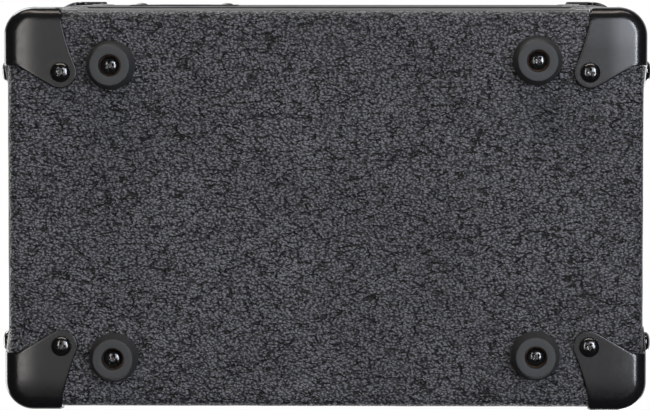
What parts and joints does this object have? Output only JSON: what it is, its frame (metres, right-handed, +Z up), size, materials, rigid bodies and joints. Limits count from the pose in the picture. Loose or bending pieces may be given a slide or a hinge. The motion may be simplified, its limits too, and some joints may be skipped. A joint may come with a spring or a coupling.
{
  "type": "guitar amplifier",
  "caption": "Small combo guitar amplifier: vinyl-covered box on rubber feet with capped corners, strap handle, front control strip, grille cloth and half-open back.",
  "frame": {"origin": "on the ground, under the middle of the amplifier's bounding box", "axes": "+Z up, the front with its controls and grille cloth faces -Y, +X to the right seen from the front"},
  "size_m": [0.2742, 0.1688, 0.295],
  "materials": {
    "vinyl": "embossed vinyl leathercloth, pebble grain, satin",
    "board": "bare chipboard",
    "black_board": "board painted matt black",
    "cloth": "woven grille cloth",
    "strip": "satin black powder coat",
    "steel": "zinc plated",
    "circuit": "glass-epoxy board with green solder resist",
    "capacitor": "shrink sleeve",
    "knob": "moulded black ABS",
    "plastic": "moulded black nylon",
    "lamp": "red diffused lens",
    "core": "varnished steel laminations",
    "winding": "polyester tape over copper wire",
    "aluminium": "extruded, mill finish",
    "magnet": "ferrite",
    "paper": "pressed black paper pulp",
    "suspension": "resin-dipped cloth",
    "handle": "moulded grip and strap",
    "cap": "moulded black ABS, satin",
    "foot": "moulded black rubber, matt",
    "screw": "black oxide steel"
  },
  "bodies": {
    "cabinet": {"vinyl_covering": "vinyl", "top_panel": "board", "bottom_panel": "board", "left_panel": "board", "right_panel": "board", "baffle_board": "black_board", "grille_cloth": "cloth", "control_strip": "strip", "chassis": "steel", "circuit_board": "circuit", "filter_capacitor_1": "capacitor", "filter_capacitor_2": "capacitor", "gain_potentiometer": "steel", "volume_potentiometer": "steel", "bass_potentiometer": "steel", "treble_potentiometer": "steel", "input_jack": "plastic", "phones_jack": "plastic", "channel_switch_body": "plastic", "power_lamp": "lamp", "power_switch_body": "plastic", "transformer_core": "core", "transformer_winding": "winding", "heat_sink": "aluminium", "rear_board_upper": "black_board", "rear_board_lower": "black_board", "mains_inlet": "plastic", "speaker_basket": "steel", "speaker_magnet": "magnet", "speaker_back_plate": "steel", "cone_surround": "suspension", "cone_spider": "suspension", "handle_strap_left": "handle", "handle_strap_right": "handle", "handle_end_cap_left": "plastic", "handle_end_cap_right": "plastic", "corner_cap_bottom_front_left": "cap", "corner_cap_bottom_front_right": "cap", "corner_cap_bottom_rear_left": "cap", "corner_cap_bottom_rear_right": "cap", "corner_cap_top_front_left": "cap", "corner_cap_top_front_right": "cap", "corner_cap_top_rear_left": "cap", "corner_cap_top_rear_right": "cap", "foot_rear_left": "foot", "foot_rear_right": "foot", "foot_front_left": "foot", "foot_front_right": "foot", "foot_screw_rear_left": "screw", "foot_screw_rear_right": "screw", "foot_screw_front_left": "screw", "foot_screw_front_right": "screw"},
    "power_rocker": {"power_rocker": "knob"},
    "channel_button": {"channel_button": "knob"},
    "speaker_cone": {"speaker_cone": "paper"},
    "handle": {"handle_grip": "handle"},
    "gain_knob": {"gain_knob": "knob"},
    "volume_knob": {"volume_knob": "knob"},
    "bass_knob": {"bass_knob": "knob"},
    "treble_knob": {"treble_knob": "knob"}
  },
  "joints": [
    {"name": "gain_turn", "type": "hinge", "parent": "cabinet", "child": "gain_knob", "pos_m": [-0.073, -0.07, 0.2357], "axis": [0, 1, 0], "range_deg": [-150, 150]},
    {"name": "volume_turn", "type": "hinge", "parent": "cabinet", "child": "volume_knob", "pos_m": [-0.027, -0.07, 0.2357], "axis": [0, 1, 0], "range_deg": [-150, 150]},
    {"name": "bass_turn", "type": "hinge", "parent": "cabinet", "child": "bass_knob", "pos_m": [0.003, -0.07, 0.2357], "axis": [0, 1, 0], "range_deg": [-150, 150]},
    {"name": "treble_turn", "type": "hinge", "parent": "cabinet", "child": "treble_knob", "pos_m": [0.033, -0.07, 0.2357], "axis": [0, 1, 0], "range_deg": [-150, 150]},
    {"name": "power_rock", "type": "hinge", "parent": "cabinet", "child": "power_rocker", "pos_m": [0.098, -0.0622, 0.2357], "axis": [1, 0, 0], "range_deg": [0, 16]},
    {"name": "channel_press", "type": "slide", "parent": "cabinet", "child": "channel_button", "axis": [0, 1, 0], "range_m": [0, 0.003], "stiffness_N_per_m": 200},
    {"name": "cone_stroke", "type": "slide", "parent": "cabinet", "child": "speaker_cone", "axis": [0, 1, 0], "range_m": [-0.002, 0.002], "stiffness_N_per_m": 1500, "deforming": ["cone_surround", "cone_spider"]},
    {"name": "handle_lift", "type": "slide", "parent": "cabinet", "child": "handle", "axis": [0, 0, 1], "range_m": [0, 0.014], "deforming": ["handle_strap_left", "handle_strap_right"]}
  ]
}
